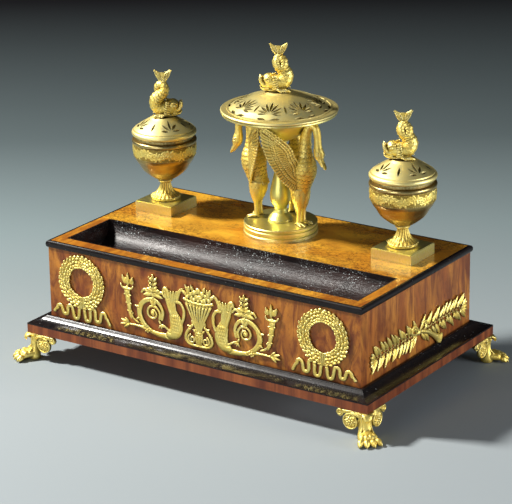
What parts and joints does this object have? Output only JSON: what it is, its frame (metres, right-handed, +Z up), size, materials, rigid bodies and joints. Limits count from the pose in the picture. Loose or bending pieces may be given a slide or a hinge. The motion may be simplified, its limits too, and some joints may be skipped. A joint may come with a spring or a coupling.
{
  "type": "desk inkstand",
  "caption": "Empire-style desk inkstand: veneered case on gilt paw feet with a pen tray, covered urns with glass liners and a covered dish carried by swans.",
  "frame": {"origin": "on the floor under the middle of the case", "axes": "+X along the front to the right, +Y from the front to the back, +Z up"},
  "size_m": [0.4354, 0.2754, 0.3183],
  "materials": {
    "case_veneer": "french-polished reddish figured veneer",
    "plinth_veneer": "polished cross-banded veneer",
    "top_veneer": "french-polished golden burr veneer",
    "ebonised": "ebonised and polished, with light dust",
    "gilt_bronze": "matt and burnished fire-gilt bronze",
    "liner_glass": "clear blown glass",
    "iron": "plain turned iron"
  },
  "bodies": {
    "stand": {"plinth_board": "plinth_veneer", "plinth_moulding_front": "ebonised", "plinth_moulding_back": "ebonised", "plinth_moulding_left": "ebonised", "plinth_moulding_right": "ebonised", "case_front": "case_veneer", "case_back": "case_veneer", "case_left": "case_veneer", "case_right": "case_veneer", "top_panel": "top_veneer", "top_rail_front": "top_veneer", "top_rail_left": "top_veneer", "top_rail_right": "top_veneer", "top_bead_front": "ebonised", "top_bead_back": "ebonised", "top_bead_left": "ebonised", "top_bead_right": "ebonised", "tray_trough": "ebonised", "tray_end_left": "ebonised", "tray_end_right": "ebonised", "front_mount": "gilt_bronze", "wreath_left": "gilt_bronze", "wreath_right": "gilt_bronze", "spray_left": "gilt_bronze", "spray_right": "gilt_bronze", "foot_front_left": "gilt_bronze", "foot_front_right": "gilt_bronze", "foot_back_left": "gilt_bronze", "foot_back_right": "gilt_bronze", "foot_screws": "iron", "urn_left_plinth": "gilt_bronze", "urn_left_stem": "gilt_bronze", "urn_left_bowl": "gilt_bronze", "urn_left_rod": "iron", "urn_right_plinth": "gilt_bronze", "urn_right_stem": "gilt_bronze", "urn_right_bowl": "gilt_bronze", "urn_right_rod": "iron", "centre_drum": "gilt_bronze", "swan_left": "gilt_bronze", "swan_right": "gilt_bronze", "swan_back": "gilt_bronze", "baluster": "gilt_bronze", "dish": "gilt_bronze", "centre_rod": "iron"},
    "cover_left": {"urn_left_cover": "gilt_bronze", "urn_left_dolphin": "gilt_bronze"},
    "liner_left": {"urn_left_liner": "liner_glass"},
    "cover_centre": {"dish_cover": "gilt_bronze", "dish_dolphin": "gilt_bronze"},
    "cover_right": {"urn_right_cover": "gilt_bronze", "urn_right_dolphin": "gilt_bronze"},
    "liner_right": {"urn_right_liner": "liner_glass"}
  },
  "joints": [
    {"name": "cover_left_lift", "type": "slide", "parent": "stand", "child": "cover_left", "axis": [0, 0, 1], "range_m": [0, 0.11]},
    {"name": "liner_left_lift", "type": "slide", "parent": "stand", "child": "liner_left", "axis": [0, 0, 1], "range_m": [0, 0.05]},
    {"name": "cover_centre_lift", "type": "slide", "parent": "stand", "child": "cover_centre", "axis": [0, 0, 1], "range_m": [0, 0.11]},
    {"name": "cover_right_lift", "type": "slide", "parent": "stand", "child": "cover_right", "axis": [0, 0, 1], "range_m": [0, 0.11]},
    {"name": "liner_right_lift", "type": "slide", "parent": "stand", "child": "liner_right", "axis": [0, 0, 1], "range_m": [0, 0.05]}
  ],
  "couplings": [
    {"joint": "liner_left_lift", "follows": "cover_left_lift", "ratio": 0.45},
    {"joint": "liner_right_lift", "follows": "cover_right_lift", "ratio": 0.45}
  ]
}
